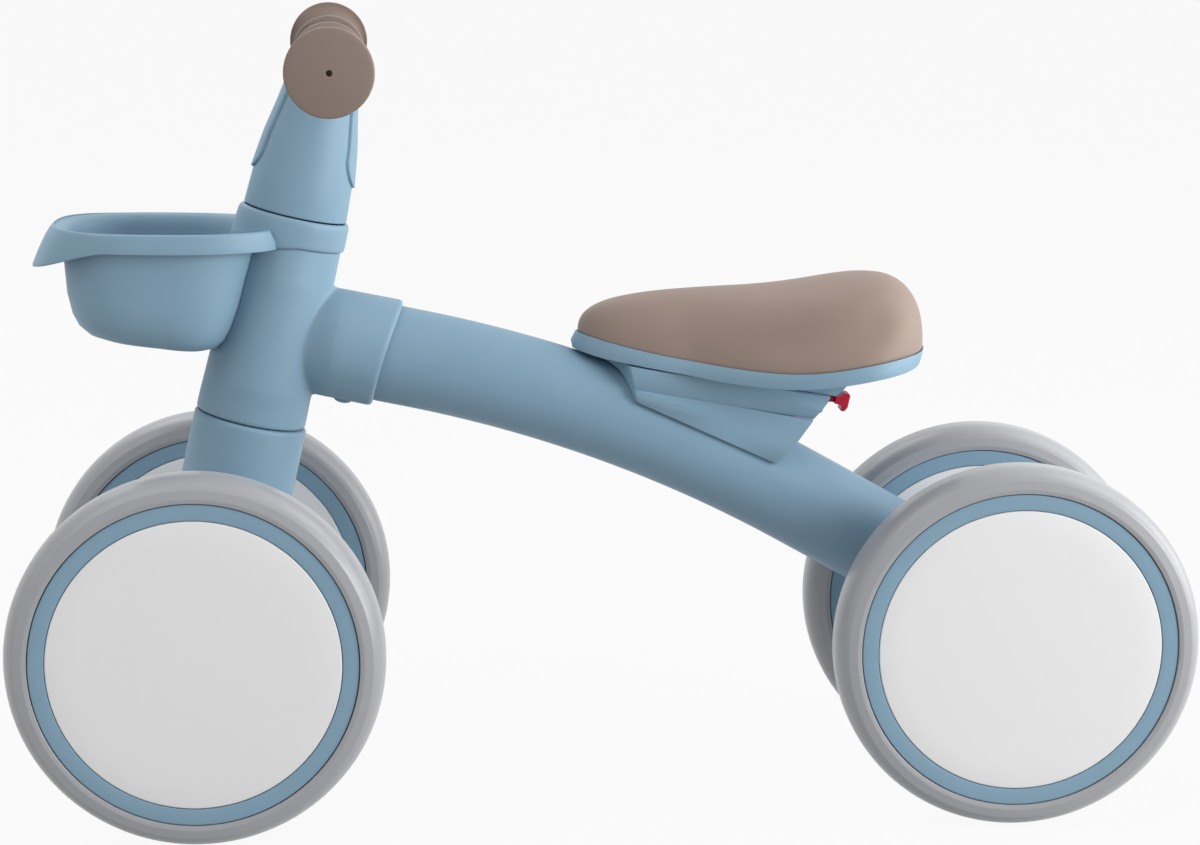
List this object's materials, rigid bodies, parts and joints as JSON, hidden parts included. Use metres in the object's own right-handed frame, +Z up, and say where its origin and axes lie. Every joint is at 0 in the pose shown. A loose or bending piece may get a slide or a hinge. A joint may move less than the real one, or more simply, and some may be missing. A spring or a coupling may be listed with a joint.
{
  "type": "balance bike",
  "caption": "Toddler's ride-on balance bike with paired wheels, a curved frame tube, a basket, a turning handlebar and a sliding padded seat.",
  "frame": {"origin": "on the ground under the middle of the wheelbase, in the bike's middle plane", "axes": "+Z up, -Y the way it drives, +X the rider's left"},
  "size_m": [0.2634, 0.578, 0.3916],
  "materials": {
    "blue_plastic": "satin moulded plastic with a very fine grain",
    "blue_paint": "satin powder coat",
    "white_plastic": "satin moulded plastic",
    "grey_foam": "smooth skinned EVA foam",
    "taupe_rubber": "soft matt rubber",
    "taupe_leather": "smooth satin leatherette",
    "red_plastic": "gloss",
    "nylon": "matt",
    "steel": "satin zinc plate"
  },
  "bodies": {
    "frame": {"head_tube": "blue_plastic", "lower_bush": "nylon", "upper_bush": "nylon", "basket": "blue_plastic", "basket_screw": "steel", "frame_tube": "blue_paint", "seat_bracket": "blue_plastic", "front_bracket_screw": "steel", "rear_bracket_screw": "steel", "rear_axle_carrier": "blue_plastic", "carrier_screw": "steel", "rear_axle": "steel", "rear_left_nut": "steel", "rear_right_nut": "steel"},
    "steering": {"fork": "blue_plastic", "steerer_tube": "steel", "stem": "blue_plastic", "stem_bolt": "steel", "stem_nut": "steel", "handlebar_clamp": "blue_plastic", "clamp_screw": "steel", "handlebar": "steel", "left_grip": "taupe_rubber", "right_grip": "taupe_rubber", "front_axle": "steel", "front_left_nut": "steel", "front_right_nut": "steel"},
    "saddle": {"seat_cushion": "taupe_leather", "seat_pan": "blue_plastic", "retainer_plate": "steel", "front_retainer_screw": "steel", "rear_retainer_screw": "steel", "lever_pin": "steel", "lever_spring": "steel"},
    "lever": {"release_lever": "red_plastic"},
    "button": {"snap_button": "blue_plastic", "button_spring": "steel"},
    "front_left_wheel": {"front_left_tyre": "grey_foam", "front_left_rim": "blue_plastic", "front_left_outer_cover": "white_plastic", "front_left_inner_cover": "white_plastic", "front_left_bush": "nylon"},
    "front_right_wheel": {"front_right_tyre": "grey_foam", "front_right_rim": "blue_plastic", "front_right_outer_cover": "white_plastic", "front_right_inner_cover": "white_plastic", "front_right_bush": "nylon"},
    "rear_left_wheel": {"rear_left_tyre": "grey_foam", "rear_left_rim": "blue_plastic", "rear_left_outer_cover": "white_plastic", "rear_left_inner_cover": "white_plastic", "rear_left_bush": "nylon"},
    "rear_right_wheel": {"rear_right_tyre": "grey_foam", "rear_right_rim": "blue_plastic", "rear_right_outer_cover": "white_plastic", "rear_right_inner_cover": "white_plastic", "rear_right_bush": "nylon"}
  },
  "joints": [
    {"name": "steering_turn", "type": "hinge", "parent": "frame", "child": "steering", "pos_m": [0, -0.199, 0.09], "axis": [0, 0.2113, 0.9774], "range_deg": [-67.5, 67.5]},
    {"name": "saddle_slide", "type": "slide", "parent": "frame", "child": "saddle", "axis": [0, 0.9885, -0.1513], "range_m": [0, 0.024]},
    {"name": "lever_turn", "type": "hinge", "parent": "saddle", "child": "lever", "pos_m": [0, 0.09398, 0.20401], "axis": [-1, 0, 0], "range_deg": [0, 25], "stiffness_Nm_per_rad": 0.05, "springref_deg": -11.46},
    {"name": "button_press", "type": "slide", "parent": "frame", "child": "button", "axis": [0, 0.1908, 0.9816], "range_m": [0, 0.0025], "stiffness_N_per_m": 3000, "springref_m": -0.001},
    {"name": "front_left_wheel_spin", "type": "hinge", "parent": "steering", "child": "front_left_wheel", "pos_m": [0.084, -0.199, 0.09], "axis": [1, 0, 0], "continuous": true},
    {"name": "front_right_wheel_spin", "type": "hinge", "parent": "steering", "child": "front_right_wheel", "pos_m": [-0.084, -0.199, 0.09], "axis": [1, 0, 0], "continuous": true},
    {"name": "rear_left_wheel_spin", "type": "hinge", "parent": "frame", "child": "rear_left_wheel", "pos_m": [0.057, 0.199, 0.09], "axis": [1, 0, 0], "continuous": true},
    {"name": "rear_right_wheel_spin", "type": "hinge", "parent": "frame", "child": "rear_right_wheel", "pos_m": [-0.057, 0.199, 0.09], "axis": [1, 0, 0], "continuous": true}
  ]
}
